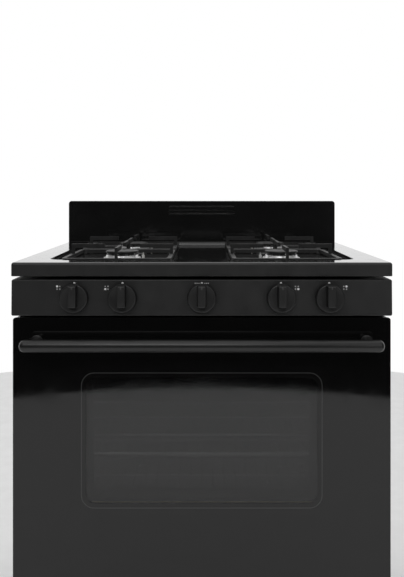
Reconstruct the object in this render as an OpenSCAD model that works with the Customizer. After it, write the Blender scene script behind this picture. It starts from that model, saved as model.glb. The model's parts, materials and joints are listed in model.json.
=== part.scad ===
// Freestanding gas range: enamelled body, four-burner cooktop with lift-off grates and caps,
// five rotary controls, an oven with a drop-down door and two racks, and a storage drawer.
// Millimetres. +Z is up and the front faces -Y. The origin is on the floor, below the middle
// of the whole range, door handle included.

/* [Body] */
// Height of the cooktop's rim above the floor
cooktop_h = 914; // [905:1:925]
// Width over the cooktop's skirt
cooktop_w = 759; // [755:1:765]
// Depth from the control panel's face to the back
body_depth = 640; // [630:5:660]
// Height of the backguard above the cooktop's rim
backguard_h = 116; // [60:2:160]
// Thickness of the body's steel sheet
sheet = 1.5; // [1:0.25:2]

/* [Control panel] */
// Height of the control panel's face
panel_h = 72; // [68:1:78]
// Width of the control panel
panel_w = 757; // [753:1:759]
// Air gap between the control panel and the cooktop's skirt
skirt_gap = 6.6; // [4:0.2:8]
// Distance of the outer knobs from the middle
outer_knob_x = 253.2; // [245:0.2:265]
// Distance of the inner burner knobs from the middle
inner_knob_x = 157.4; // [140:0.2:165]

/* [Knobs] */
// Diameter of a knob's front rim
knob_d = 55; // [50:1:58]
// Depth of a knob, from its back to the face of its grip
knob_depth = 26; // [22:0.5:30]
// Width of a knob's bar grip
grip_w = 17; // [12:0.5:20]
// How far a burner knob pushes in before it turns
push_travel = 3; // [2:0.25:3]

/* [Cooktop] */
// Height of the cooktop's folded skirt
skirt_h = 27.4; // [24:0.2:30]
// Depth of the cooktop's recessed well
well_depth = 8.6; // [6:0.2:10]
// Half width of the well
well_half_w = 317; // [305:1:325]

/* [Burners and grates] */
// Distance of the burners from the middle
burner_x = 178.6; // [176:0.2:182]
// Distance of the front burners behind the control panel's face
front_burner_y = 180; // [176:1:184]
// Distance from the front burners to the rear burners
burner_pitch_y = 250; // [246:1:254]
// Diameter of a burner's base
burner_d = 83; // [76:1:88]
// Side of a square grate
grate_side = 230; // [220:1:236]
// Height of the pan supports above the cooktop's rim
grate_rise = 24; // [16:1:34]

/* [Oven] */
// Half width of the oven inside
oven_half_w = 300; // [290:1:302]
// Height of the oven floor above the room's floor
oven_floor_z = 310; // [305:1:318]
// Height of the oven ceiling above the room's floor
oven_top_z = 770; // [765:1:772]
// Depth of the oven inside
oven_depth = 488; // [470:1:490]

/* [Oven door] */
// Width of the oven door
door_w = 751; // [745:1:753]
// Height of the oven door's bottom edge
door_bottom_z = 204; // [203:0.5:206]
// Depth of the door, glass included
door_t = 45; // [44:0.5:46]
// Diameter of the handle bar
handle_d = 24; // [18:1:26]
// Height of the handle bar above the floor
handle_z = 757; // [740:1:765]

/* [Drawer and feet] */
// Height of the drawer front's top edge
drawer_top_z = 192; // [180:1:193]
// Depth of the drawer tray
drawer_depth = 470; // [400:5:480]
// Diameter of a levelling foot
foot_d = 38; // [30:1:44]

/* [Hidden] */
BURNERS = ["left_rear", "left_front", "right_front", "right_rear"];
$fn = 48;

// Depth stations, from the front to the back
handle_reach = 53;
total_depth = body_depth + handle_reach - 3;
front_y = -total_depth / 2 + handle_reach - 3;
back_y = front_y + body_depth;
door_front_y = front_y + 3;
door_back_y = door_front_y + door_t;
frame_y = door_back_y + 7;
panel_back_y = frame_y - 5;

// Height stations
rim_z = cooktop_h;
well_z = rim_z - well_depth;
skirt_z = rim_z - skirt_h;
body_top_z = skirt_z - skirt_gap;
panel_z = body_top_z - panel_h;
door_top_z = panel_z - 4;
knob_z = panel_z + panel_h / 2;

// Body shell
side_x = 375.5;
side_in_x = side_x - sheet;
body_bottom_z = 24;
pan_t = 2;
pan_corner = 7;
cooktop_back_y = back_y - 56;
well_y0 = front_y + 62;
well_y1 = cooktop_back_y - 19;
box_half_w = 352;
box_y0 = front_y + 97;
box_y1 = cooktop_back_y - 3;
box_z = panel_z + 0.5;

// Controls, one row per burner in the order of BURNERS
BURNER_AT = [
    [-burner_x, front_y + front_burner_y + burner_pitch_y],
    [-burner_x, front_y + front_burner_y],
    [burner_x, front_y + front_burner_y],
    [burner_x, front_y + front_burner_y + burner_pitch_y]
];
KNOB_X = [-outer_knob_x, -inner_knob_x, inner_knob_x, outer_knob_x];
knob_gap = push_travel + 0.5;
knob_back_y = front_y - knob_gap;
knob_disc_t = 9.5;
grip_top = 26.5;
grip_bottom = 16;
stem_r = 3.5;
oven_stem_r = 4;
run_gap = 0.05;
ball_swell = 1.04;
valve_y0 = front_y + 33;
valve_y1 = valve_y0 + 32;
manifold_y = front_y + 81;
manifold_r = 9.5;
tube_r = 4;
tube_z = 872;
oven_tube_x = 120;
oven_outlet_x = 20;
regulator_x = 300;
regulator_y = back_y - 33;
regulator_z = 110;

// Burners
holder_r = 22;
holder_z = 856;
collar_z = well_z - 7.4;
cap_z = rim_z + 4;
cap_r = burner_d / 2 - 4.5;
spigot_r = 13.8;
inlet_nut = 10;
igniter_offset = burner_d / 2 + 5.5;

// Oven
oven_y0 = frame_y + 3;
oven_y1 = oven_y0 + oven_depth;
oven_bottom_z = 227;
oven_mouth_z0 = 300;
oven_mouth_z1 = 765;
wool_t = 34;
rib_pitch = 70;
rib_z0 = oven_floor_z + 50;
rib_t = 4;
rib_in = 7;
flue_half_w = 100;
flue_z0 = oven_top_z - 37;
burner_pipe_r = 12;
bake_z = 262;
broil_z = oven_top_z - 26;
sensor_x = -24;
sensor_y = oven_y1 - 46;

// Door
hinge_y = door_front_y + 17;
hinge_z = door_bottom_z + 14;
hinge_x = 332;
hinge_pin_r = 4;
glass_t = 5;
window_z = 560;
window_w = 440;
window_h = 230;
wool_z0 = 240;
wool_z1 = 790;
door_wool_half_w = 318;
hinge_slot_w = 13;
hinge_slot_z1 = 230;
hinge_arm_z1 = 262;

// Drawer and feet
drawer_bottom_z = 38;
bay_half_w = 344;
bay_z0 = 42;
bay_z1 = 190;
tray_half_w = 328;
tray_z0 = 48;
tray_z1 = 170;
foot_x = 352;
foot_y0 = frame_y + 28;
foot_y1 = back_y - 35;
foot_pad_h = 8;

// Screws of the rear cover, one column down each side
SCREW_Z = [for (i = [0 : 4]) 230 + i * 150];
screw_x = 366;

// ---------- Shared shapes ----------

// Box between two opposite corners
module span(a, b) {
    translate(a) cube(b - a);
}

// Both halves of a symmetric pair
module pair_x() {
    children();
    mirror([1, 0, 0]) children();
}

// Outline with rounded corners, centred on the origin
module rounded_rect(w, h, r) {
    square([w - 2 * r, h], center = true);
    square([w, h - 2 * r], center = true);
    for (x = [-1, 1], y = [-1, 1])
        translate([x * (w / 2 - r), y * (h / 2 - r)]) circle(r);
}

// Extrudes an outline, drawn in X and Z, from y0 to y1
module along_y(y0, y1) {
    translate([0, y1, 0]) rotate([90, 0, 0]) linear_extrude(y1 - y0) children();
}

// Extrudes an outline, drawn in X and Y, from z0 to z1
module along_z(z0, z1) {
    translate([0, 0, z0]) linear_extrude(z1 - z0) children();
}

// Round bar between two points
module rod(a, b, r) {
    d = b - a;
    reach = norm(d);
    translate(a)
        rotate([0, acos(d.z / reach), atan2(d.y, d.x)]) cylinder(r = r, h = reach);
}

// Round bar through a list of points, with ball corners
module bar_run(points, r) {
    last = len(points) - 1;
    for (i = [0 : last - 1]) rod(points[i], points[i + 1], r);
    for (i = [1 : 1 : last - 1]) translate(points[i]) sphere(r * ball_swell);
}

// Unit vector
function unit(v) = v / norm(v);

// Point q moved along direction d into the plane through p whose normal is n
function slide_to(q, d, p, n) = q + d * (((p - q) * n) / (d * n));

// First ring of a tube: a circle of radius r around p, square to direction d
function first_ring(p, d, r, sides) =
    let (u = unit(abs(d.z) > 0.9 ? cross(d, [0, 1, 0]) : cross(d, [0, 0, 1])), v = cross(d, u))
    [for (k = [0 : sides - 1]) p + r * (cos(k * 360 / sides) * u + sin(k * 360 / sides) * v)];

// Rings from point i on, each one the last ring slid into the next mitre plane
function later_rings(points, ring, i) =
    i >= len(points) ? [] :
    let (d = unit(points[i] - points[i - 1]),
         n = i == len(points) - 1 ? d : unit(d + unit(points[i + 1] - points[i])),
         next = [for (q = ring) slide_to(q, d, points[i], n)])
    concat(next, later_rings(points, next, i + 1));

// Bent tube with mitred corners
module tube_run(points, r, sides = 12) {
    last = len(points) - 1;
    start = first_ring(points[0], unit(points[1] - points[0]), r, sides);
    polyhedron(
        points = concat(start, later_rings(points, start, 1)),
        faces = concat(
            [[for (k = [0 : sides - 1]) k]],
            [[for (k = [0 : sides - 1]) (last + 1) * sides - 1 - k]],
            [for (i = [0 : last - 1], k = [0 : sides - 1])
                [i * sides + k, (i + 1) * sides + k,
                 (i + 1) * sides + (k + 1) % sides, i * sides + (k + 1) % sides]]));
}

// Round bar along Y, from y0 to y1, on an axis at x and z
module rod_y(x, z, y0, y1, r) {
    translate([x, y1, z]) rotate([90, 0, 0]) cylinder(r = r, h = y1 - y0);
}

// Four-sided ring of wall t: outline w by h, drawn in X and Z, from y0 to y1
module ring_y(w, h, z_mid, t, y0, y1, r) {
    along_y(y0, y1) translate([0, z_mid]) difference() {
        rounded_rect(w, h, r);
        rounded_rect(w - 2 * t, h - 2 * t, max(r - t, 0.5));
    }
}

// ---------- Body ----------

// Side skin with its top, rear and front returns
module side_panel(side) {
    color([0.06, 0.06, 0.06])
    mirror([side < 0 ? 1 : 0, 0, 0]) difference() {
        union() {
            span([side_in_x, frame_y, body_bottom_z], [side_x, back_y - 2, body_top_z]);
            span([side_in_x - 14, frame_y + 4, body_top_z - sheet],
                 [side_x, back_y - 2, body_top_z]);
            span([side_in_x - 15, back_y - 2 - sheet, body_bottom_z + 60],
                 [side_x, back_y - 2, body_top_z]);
        }
        for (z = SCREW_Z) rod_y(screw_x, z, back_y - 5, back_y - 1, 2.1);
    }
}

// Rear cover with a field of cooling slots
module back_panel() {
    color([0.62, 0.63, 0.64])
    difference() {
        span([-side_in_x + 0.2, back_y - 5.2, 205], [side_in_x - 0.2, back_y - 4, 878]);
        for (x = [-260 : 40 : 260], z = [640 : 22 : 706])
            span([x - 14, back_y - 6, z], [x + 14, back_y - 3, z + 6]);
        for (x = [-screw_x, screw_x], z = SCREW_Z) rod_y(x, z, back_y - 6, back_y - 3, 2.1);
    }
}

// Folded base: two side channels, two cross channels and a threaded boss over each foot
module base_frame() {
    z0 = 30;
    inner = 336;
    outer = side_in_x - 0.1;
    y0 = frame_y + 4;
    y1 = back_y - 7;
    color([0.45, 0.46, 0.47])
    difference() {
        union() {
            pair_x() {
                span([inner, y0, z0], [outer, y1, z0 + 2.5]);
                span([outer - 2.5, y0, z0], [outer, y1, z0 + 40]);
            }
            for (y = [y0, y1 - 34]) span([-inner, y, z0], [inner, y + 34, z0 + 2.5]);
            span([-inner, y1 - 2.5, z0], [inner, y1, z0 + 40]);
            for (x = [-foot_x, foot_x], y = [foot_y0, foot_y1])
                translate([x, y, z0]) cylinder(r = 10, h = 14);
        }
        for (x = [-foot_x, foot_x], y = [foot_y0, foot_y1])
            translate([x, y, z0 - 1]) cylinder(r = 5 + run_gap, h = 16);
    }
}

// Four screw-in feet
module leveling_feet() {
    color([0.12, 0.12, 0.12])
    for (x = [-foot_x, foot_x], y = [foot_y0, foot_y1]) translate([x, y, 0]) {
        cylinder(r1 = foot_d / 2 - 2, r2 = foot_d / 2, h = 2);
        translate([0, 0, 2]) cylinder(r = foot_d / 2, h = foot_pad_h - 2);
        cylinder(r = 9, h = 16, $fn = 6);
        cylinder(r = 5, h = 47);
    }
}

// Face frame around the oven mouth and the drawer bay
module front_frame() {
    color([0.10, 0.10, 0.11])
    along_y(frame_y, frame_y + 3) difference() {
        translate([-side_in_x + 0.1, body_bottom_z + 6])
            square([2 * side_in_x - 0.2, panel_z - 2 - body_bottom_z - 6]);
        translate([0, (oven_mouth_z0 + oven_mouth_z1) / 2])
            rounded_rect(2 * oven_half_w - 4, oven_mouth_z1 - oven_mouth_z0, 12);
        translate([-bay_half_w, bay_z0]) square([2 * bay_half_w, bay_z1 - bay_z0]);
    }
}

// Pair of brackets that carry the door's hinge pins
module hinge_receivers() {
    color([0.66, 0.67, 0.68])
    pair_x() difference() {
        union() {
            rotate([90, 0, 90]) translate([hinge_y, hinge_z, hinge_x - 3]) cylinder(r = 9, h = 6);
            span([hinge_x - 3, hinge_y, hinge_z - 7], [hinge_x + 3, frame_y, hinge_z + 7]);
            span([hinge_x - 8, frame_y - 2.5, hinge_z - 8], [hinge_x + 8, frame_y, hinge_z + 44]);
        }
        rotate([90, 0, 90]) translate([hinge_y, hinge_z, hinge_x - 4])
            cylinder(r = hinge_pin_r + run_gap, h = 8);
    }
}

// Two channels that the drawer runs on
module drawer_rails() {
    color([0.70, 0.71, 0.72])
    pair_x() {
        span([341, frame_y + 4, 84], [343, frame_y + 480, 110]);
        span([331, frame_y + 4, 84], [341, frame_y + 480, 86]);
        for (y = [frame_y + 4, frame_y + 450])
            span([343, y, 92], [side_in_x - 0.1, y + 12, 98]);
    }
}

// ---------- Cooktop ----------

// Folded pan with a sunken well, burner throats and igniter holes
module cooktop() {
    color([0.05, 0.05, 0.05])
    difference() {
        union() {
            difference() {
                cooktop_block(0, skirt_z, rim_z);
                cooktop_block(pan_t, skirt_z - 1, rim_z - pan_t);
            }
            well_block(pan_t, well_z - pan_t, rim_z - pan_t / 2);
        }
        well_block(0, well_z, rim_z + 1);
        for (at = BURNER_AT) {
            translate([at.x, at.y, well_z - 3]) cylinder(r = 30, h = 6);
            translate(igniter_at(at, well_z - 3)) cylinder(r = 5, h = 6);
        }
    }
}

// Outer form of the cooktop, shrunk by an inset
module cooktop_block(inset, z0, z1) {
    along_z(z0, z1) translate([0, (front_y + cooktop_back_y) / 2])
        rounded_rect(cooktop_w - 2 * inset, cooktop_back_y - front_y - 2 * inset,
                     pan_corner - inset);
}

// Form of the sunken well, grown by a margin
module well_block(margin, z0, z1) {
    along_z(z0, z1) translate([0, (well_y0 + well_y1) / 2])
        rounded_rect(2 * well_half_w + 2 * margin, well_y1 - well_y0 + 2 * margin, 24 + margin);
}

// Igniter beside a burner, on the side nearest the middle of the range
function igniter_at(at, z) = [at.x - sign(at.x) * igniter_offset, at.y, z];

// Tray under the cooktop that the burners stand in
module burner_box() {
    notch = 9;
    color([0.52, 0.53, 0.54])
    difference() {
        span([-box_half_w, box_y0, box_z], [box_half_w, box_y1, rim_z - pan_t - 0.1]);
        span([-box_half_w + sheet, box_y0 + sheet, box_z + sheet],
             [box_half_w - sheet, box_y1 - sheet, rim_z]);
        span([-box_half_w - 1, box_y0 - 1, well_z - pan_t - 0.1],
             [box_half_w + 1, box_y0 + 40, rim_z]);
        for (x = concat(KNOB_X, [-oven_outlet_x, oven_outlet_x]))
            span([x - notch, box_y0 - 1, tube_z - notch], [x + notch, box_y0 + 2, rim_z]);
        for (x = [-oven_tube_x, oven_tube_x])
            span([x - notch, box_y1 - 2, tube_z - notch], [x + notch, box_y1 + 1, rim_z]);
        for (at = BURNER_AT)
            span([at.x - 15, at.y - 15, box_z - 1], [at.x + 15, at.y + 15, box_z + 3]);
    }
}

// Upright panel behind the cooktop, open at its back, with a slot for the oven's flue
module backguard() {
    y0 = cooktop_back_y + 1;
    z1 = rim_z + backguard_h;
    color([0.06, 0.06, 0.06])
    difference() {
        along_y(y0, back_y) translate([0, (body_top_z + z1) / 2])
            rounded_rect(cooktop_w, z1 - body_top_z, 8);
        along_y(y0 + sheet, back_y + 1) translate([0, (body_top_z + z1) / 2])
            rounded_rect(cooktop_w - 2 * sheet, z1 - body_top_z - 2 * sheet, 8 - sheet);
        span([-300, y0 - 1, body_top_z - 1], [300, back_y + 1, body_top_z + sheet + 1]);
        for (z = [z1 - 38 : 10 : z1 - 18])
            span([-flue_half_w + 6, y0 - 1, z], [flue_half_w - 6, y0 + 3, z + 4]);
    }
}

// Cast burner base: throat below the well, flange, bowl and a ring of flame ports
module burner_base() {
    ports = 30;
    difference() {
        union() {
            translate([0, 0, holder_z]) cylinder(r = holder_r, h = 44);
            rod_y(0, tube_z, -holder_r - inlet_nut, 0, 7);
            translate([0, 0, collar_z]) cylinder(r = 26, h = well_z - collar_z + 1);
            translate([0, 0, well_z + 0.1]) cylinder(r = burner_d / 2, h = 2.6);
            translate([0, 0, well_z + 2])
                cylinder(r1 = burner_d / 2 - 4, r2 = burner_d / 2 - 6, h = well_depth - 2);
            translate([0, 0, rim_z - 0.5]) cylinder(r = burner_d / 2 - 8, h = cap_z - rim_z + 0.5);
        }
        translate([0, 0, holder_z + 30]) cylinder(r = spigot_r + 0.2, h = 60);
        for (i = [0 : ports - 1]) rotate(i * 360 / ports)
            span([burner_d / 2 - 16, -1, rim_z], [burner_d / 2, 1, cap_z + 1]);
        translate([0, 0, rim_z + 1]) cylinder(r = burner_d / 2 - 15, h = 5);
    }
}

// All four burner bases
module burner_bases() {
    color([0.80, 0.80, 0.79])
    for (at = BURNER_AT) translate([at.x, at.y, 0]) burner_base();
}

// Loose cap that covers a burner's bowl
module burner_cap(i) {
    color([0.05, 0.05, 0.05]) translate([BURNER_AT[i].x, BURNER_AT[i].y, cap_z]) {
        cylinder(r = cap_r, h = 4);
        translate([0, 0, 4]) cylinder(r1 = cap_r, r2 = cap_r - 4, h = 2.5);
        translate([0, 0, -4]) cylinder(r = spigot_r, h = 5);
    }
}

// Spark electrodes, one beside each burner
module burner_igniters() {
    color([0.93, 0.92, 0.88])
    for (at = BURNER_AT) translate(igniter_at(at, 0)) {
        translate([0, 0, well_z - 22]) cylinder(r = 3.2, h = 30);
        translate([0, 0, well_z + 7]) cylinder(r = 1, h = 6);
    }
}

// Square pan support: a frame on four feet, with a raised finger from each side
module grate(i) {
    bar = 9;
    half = grate_side / 2;
    low = well_z + 2.6;
    high = rim_z + grate_rise;
    color([0.07, 0.07, 0.07])
    translate([BURNER_AT[i].x, BURNER_AT[i].y, 0]) {
        along_z(low, low + 8) difference() {
            rounded_rect(grate_side, grate_side, 14);
            rounded_rect(grate_side - 2 * bar, grate_side - 2 * bar, 8);
        }
        for (x = [-1, 1], y = [-1, 1])
            translate([x * (half - 12), y * (half - 12), well_z]) cylinder(r = 6, h = 3);
        for (a = [0 : 90 : 270]) rotate(a) {
            span([half - 8, -3, low + 1], [half - 1, 3, high]);
            span([cap_r + 2.5, -3, high - 9], [half - 7, 3, high]);
        }
    }
}

// ---------- Controls and gas ----------

// Front control panel: a shallow shell, open at its back, with a hole for each shaft
module control_panel() {
    color([0.14, 0.14, 0.14])
    difference() {
        along_y(front_y, panel_back_y) translate([0, knob_z]) rounded_rect(panel_w, panel_h, 4);
        along_y(front_y + 2, panel_back_y + 1) translate([0, knob_z])
            rounded_rect(panel_w - 4, panel_h - 4, 2.5);
        for (x = concat(KNOB_X, [0])) rod_y(x, knob_z, front_y - 1, front_y + 3, 6);
    }
}

// Gas manifold with its end plug
module manifold_pipe() {
    color([0.60, 0.61, 0.62]) {
        rod([-290, manifold_y, knob_z], [regulator_x, manifold_y, knob_z], manifold_r);
        rod([-298, manifold_y, knob_z], [-290, manifold_y, knob_z], manifold_r + 2);
    }
}

// Four tapered-plug gas valves, screwed into the manifold
module burner_valves() {
    outlet_y = valve_y0 + 20;
    color([0.72, 0.58, 0.30])
    for (x = KNOB_X) difference() {
        union() {
            rod_y(x, knob_z, valve_y0, valve_y1, 11);
            rod_y(x, knob_z, valve_y0, valve_y0 + 6, 14);
            rod_y(x, knob_z, valve_y1 - 1, manifold_y - manifold_r - 0.1, 6);
            translate([x, outlet_y, knob_z]) cylinder(r = 6, h = 16);
        }
        rod_y(x, knob_z, valve_y0 - 1, valve_y0 + 26, 7 + run_gap);
    }
}

// Plug that turns inside a valve, bored for the sliding stem
module valve_plug(i) {
    color([0.78, 0.64, 0.34])
    difference() {
        rod_y(KNOB_X[i], knob_z, valve_y0 + 3, valve_y0 + 25.5, 7);
        rod_y(KNOB_X[i], knob_z, valve_y0 + 2, valve_y0 + 21, stem_r + run_gap);
    }
}

// Shaft of radius r from y0 into its knob, with a flat on its front end
module flatted_shaft(x, y0, y1, r) {
    difference() {
        rod_y(x, knob_z, y0, y1, r);
        span([x - r, y0 - 1, knob_z - r - 1], [x + r, y0 + 11, knob_z - r * 0.55]);
    }
}

// Stem that carries a burner knob and slides in its plug
module valve_stem(i) {
    color([0.75, 0.76, 0.77])
    flatted_shaft(KNOB_X[i], knob_back_y - 8, valve_y0 + 15, stem_r);
}

// Stem of the oven thermostat
module oven_stem() {
    color([0.75, 0.76, 0.77])
    flatted_shaft(0, knob_back_y - 8, front_y + 48, oven_stem_r);
}

// Round control knob with a raised bar grip and a socket for a flatted shaft
module control_knob(x, shaft_r) {
    color([0.13, 0.13, 0.13])
    difference() {
        union() {
            translate([x, knob_back_y, knob_z]) rotate([90, 0, 0])
                cylinder(r1 = knob_d / 2 + 1.5, r2 = knob_d / 2, h = knob_disc_t);
            along_y(knob_back_y - knob_depth, knob_back_y - knob_disc_t + 1)
                translate([x, knob_z + (grip_top - grip_bottom) / 2])
                    rounded_rect(grip_w, grip_top + grip_bottom, 2);
        }
        difference() {
            rod_y(x, knob_z, knob_back_y - 8.2, knob_back_y + 1, shaft_r + 0.03);
            span([x - 9, knob_back_y - 9, knob_z - 12],
                 [x + 9, knob_back_y + 2, knob_z - shaft_r * 0.55 - 0.03]);
        }
    }
}

// Oven thermostat with its capillary and the sensing bulb inside the oven
module oven_thermostat() {
    body_y = front_y + 25;
    neck_y = front_y + 57;
    x = sensor_x;
    cap_y = sensor_y;
    gap_z = box_z - 1.5;
    color([0.68, 0.66, 0.60]) {
        difference() {
            union() {
                span([-28, body_y, knob_z - 22], [28, neck_y, knob_z + 22]);
                rod_y(0, knob_z, neck_y - 1, manifold_y - manifold_r - 0.1, 7);
            }
            rod_y(0, knob_z, body_y - 1, front_y + 49, oven_stem_r + run_gap);
        }
        tube_run([[x, body_y + 20, knob_z - 22.1], [x, body_y + 20, knob_z - 32],
                  [x, box_y0 - 17, knob_z - 32], [x, box_y0 - 7, gap_z],
                  [x, cap_y, gap_z], [x, cap_y, oven_top_z - 13.9]], 1, 8);
        rod([x - 66, cap_y, oven_top_z - 18], [x + 74, cap_y, oven_top_z - 18], 4);
    }
}

// Pressure regulator behind the drawer, with its threaded inlet facing the wall
module gas_regulator() {
    at = [regulator_x, regulator_y, regulator_z];
    color([0.55, 0.56, 0.57]) {
        translate(at + [0, 0, -16]) cylinder(r = 15, h = 42);
        translate(at + [0, 0, 13]) cylinder(r = 27, h = 7);
        translate(at + [0, 0, 20]) cylinder(r1 = 27, r2 = 18, h = 6);
        rod_y(at.x, at.z, at.y, back_y - 16, 13);
        rod_y(at.x, at.z, back_y - 17, back_y - 1, 10.5);
    }
}

// Every gas tube: four to the burners, two to the oven, and the riser to the manifold
module gas_tubes() {
    outlet_y = valve_y0 + 20;
    tail_y = regulator_y;
    side_run_x = box_half_w + 11.5;
    rear_end = oven_y1 - 2;
    color([0.74, 0.75, 0.76]) {
        for (i = [0 : 3]) {
            x = KNOB_X[i];
            b = BURNER_AT[i];
            tube_run([[x, outlet_y, knob_z + 16.1], [x, outlet_y, tube_z], [x, b.y - 85, tube_z],
                      [b.x, b.y - 48, tube_z], [b.x, b.y - holder_r - inlet_nut - 0.1, tube_z]],
                     tube_r);
        }
        for (end = [[1, bake_z], [-1, broil_z]]) {
            x = end[0] * oven_tube_x;
            tube_run([[end[0] * oven_outlet_x, outlet_y, knob_z + 22.1],
                      [end[0] * oven_outlet_x, outlet_y, tube_z + 1],
                      [end[0] * oven_outlet_x, box_y0 + 18, tube_z + 1],
                      [x, box_y0 + 110, tube_z + 1],
                      [x, tail_y, tube_z + 1], [x, tail_y, end[1]], [x, rear_end + 0.1, end[1]]],
                     tube_r);
        }
        tube_run([[regulator_x, tail_y, regulator_z + 26.1], [regulator_x, tail_y, knob_z],
                  [side_run_x, tail_y, knob_z],
                  [side_run_x, manifold_y, knob_z],
                  [regulator_x + 0.1, manifold_y, knob_z]], 6);
    }
}

// ---------- Oven ----------

// Enamelled oven liner with rack ribs and a ledge for the floor plate
module oven_cavity() {
    w = oven_half_w;
    ribs = [for (i = [0 : 4]) rib_z0 + i * rib_pitch];
    color([0.16, 0.17, 0.19])
    difference() {
        union() {
            difference() {
                span([-w - sheet, oven_y0 + 0.1, oven_bottom_z - sheet],
                     [w + sheet, oven_y1 + sheet, oven_top_z + sheet]);
                span([-w, oven_y0 - 1, oven_bottom_z], [w, oven_y1, oven_top_z]);
            }
            pair_x() {
                for (z = ribs) span([w - rib_in, oven_y0 + 8, z], [w + 1, oven_y1 + 1, z + rib_t]);
                span([w - rib_in, oven_y0 + 2, oven_floor_z - rib_t],
                     [w + 1, oven_y1 + 1, oven_floor_z]);
            }
        }
        span([-flue_half_w + 1.2, oven_y1 - 1, flue_z0 + 1.2],
             [flue_half_w - 1.2, oven_y1 + 3, flue_z0 + 32.8]);
        rod_y(oven_tube_x, bake_z, oven_y1 - 1, oven_y1 + 3, tube_r + 1);
        rod_y(-oven_tube_x, broil_z, oven_y1 - 1, oven_y1 + 3, tube_r + 1);
        translate([sensor_x, sensor_y, oven_top_z - 1]) cylinder(r = 2, h = 4);
        for (y = [-180 : 40 : 180]) span([-200, y - 6, 220], [200, y + 6, oven_bottom_z + 1]);
    }
}

// Lift-out plate over the bake burner, with heat slots down both sides
module oven_floor() {
    color([0.16, 0.17, 0.19])
    difference() {
        span([-oven_half_w + 0.6, oven_y0 + 2, oven_floor_z + 0.05],
             [oven_half_w - 0.6, oven_y1 - 2, oven_floor_z + 2]);
        for (x = [-270, 270], y = [-190 : 38 : 190])
            span([x - 4, y - 13, oven_floor_z - 1], [x + 4, y + 13, oven_floor_z + 3]);
    }
}

// Mineral wool around the liner's sides, top and back
module oven_insulation() {
    w = oven_half_w + sheet + 0.2;
    top = oven_top_z + sheet;
    color([0.86, 0.80, 0.62])
    difference() {
        span([-w - wool_t, oven_y0 + 2, oven_bottom_z], [w + wool_t, oven_y1 + wool_t, top + wool_t]);
        span([-w, oven_y0, oven_bottom_z - 1], [w, oven_y1 + sheet + 0.2, top + 0.2]);
        span([-flue_half_w - 1, oven_y1, flue_z0 - 1], [flue_half_w + 1, oven_y1 + 60, flue_z0 + 35]);
        for (at = [[oven_tube_x, bake_z], [-oven_tube_x, broil_z]])
            rod_y(at[0], at[1], oven_y1, oven_y1 + 60, tube_r + 2);
        translate([sensor_x, sensor_y, top - 2]) cylinder(r = 3, h = 60);
    }
}

// U-shaped tube burner lying at height z, fed at the back on the given side
module tube_burner(z, side) {
    x = side * oven_tube_x;
    bar_run([[x, oven_y1 - 2, z], [x, oven_y0 + 60, z], [-x, oven_y0 + 60, z],
             [-x, oven_y1 - 50, z]], burner_pipe_r);
}

// Bake burner under the oven floor
module oven_burner() {
    color([0.58, 0.57, 0.54]) tube_burner(bake_z, 1);
}

// Broil burner under the oven ceiling
module broil_burner() {
    color([0.58, 0.57, 0.54]) tube_burner(broil_z, -1);
}

// Woven seal around the oven mouth
module oven_gasket() {
    color([0.30, 0.30, 0.30])
    ring_y(2 * oven_half_w + 24, oven_mouth_z1 - oven_mouth_z0 + 18,
           (oven_mouth_z0 + oven_mouth_z1) / 2, 9, frame_y - 6.5, frame_y - 0.05, 20);
}

// Duct from the oven's back up into the backguard
module flue_duct() {
    w = flue_half_w;
    t = 1.2;
    y0 = oven_y1 + sheet + 0.1;
    y1 = cooktop_back_y + 3;
    y2 = back_y - 11;
    z1 = rim_z + backguard_h - 14;
    color([0.62, 0.63, 0.64])
    difference() {
        union() {
            span([-w, y0, flue_z0], [w, y2, flue_z0 + 34]);
            span([-w, y1, flue_z0], [w, y2, z1]);
        }
        span([-w + t, y0 - 1, flue_z0 + t], [w - t, y2 - t, flue_z0 + 34 - t]);
        span([-w + t, y1 + t, flue_z0 + t], [w - t, y2 - t, z1 - t]);
        span([-w + t, y1 - 1, z1 - 24], [w - t, y1 + 2, z1 - t]);
    }
}

// Wire rack standing on the ribs whose tops are at height z
module oven_rack(z) {
    frame_r = 3.2;
    wire_r = 1.5;
    w = oven_half_w - 6;
    y0 = oven_y0 + 18;
    y1 = oven_y1 - 12;
    zc = z + frame_r * ball_swell + run_gap;
    color([0.80, 0.81, 0.82]) {
        bar_run([[-w, y0, zc], [w, y0, zc], [w, y1, zc], [-w, y1, zc], [-w, y0, zc]], frame_r);
        translate([-w, y0, zc]) sphere(frame_r * ball_swell);
        for (y = [y0 + 110, (y0 + y1) / 2, y1 - 110]) rod([-w, y, zc], [w, y, zc], 2.4);
        for (i = [1 : 21]) {
            x = -w + i * 2 * w / 22;
            rod([x, y0, zc + frame_r], [x, y1, zc + frame_r], wire_r);
        }
    }
}

// ---------- Oven door ----------

// Black glass front
module door_glass() {
    color([0.03, 0.03, 0.03])
    along_y(door_front_y, door_front_y + glass_t) translate([0, (door_bottom_z + door_top_z) / 2])
        rounded_rect(door_w, door_top_z - door_bottom_z, 5);
}

// Cutter for the slots that the hinge brackets pass through
module hinge_slots(y0, y1) {
    half = hinge_slot_w / 2;
    pair_x() span([hinge_x - half, y0, door_bottom_z - 1], [hinge_x + half, y1, hinge_slot_z1]);
}

// Steel frame behind the glass, with slots for the hinge brackets
module door_frame() {
    y0 = door_front_y + glass_t + 0.1;
    y1 = door_back_y - 15.1;
    mid = (door_bottom_z + door_top_z) / 2;
    h = door_top_z - door_bottom_z - 3;
    color([0.08, 0.08, 0.08])
    difference() {
        union() {
            ring_y(door_w - 3, h, mid, sheet, y0, y1, 4);
            ring_y(door_w - 3, h, mid, 24, y0, y0 + 1.8, 4);
        }
        hinge_slots(y0 + 1.8, y1 + 1);
    }
}

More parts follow.
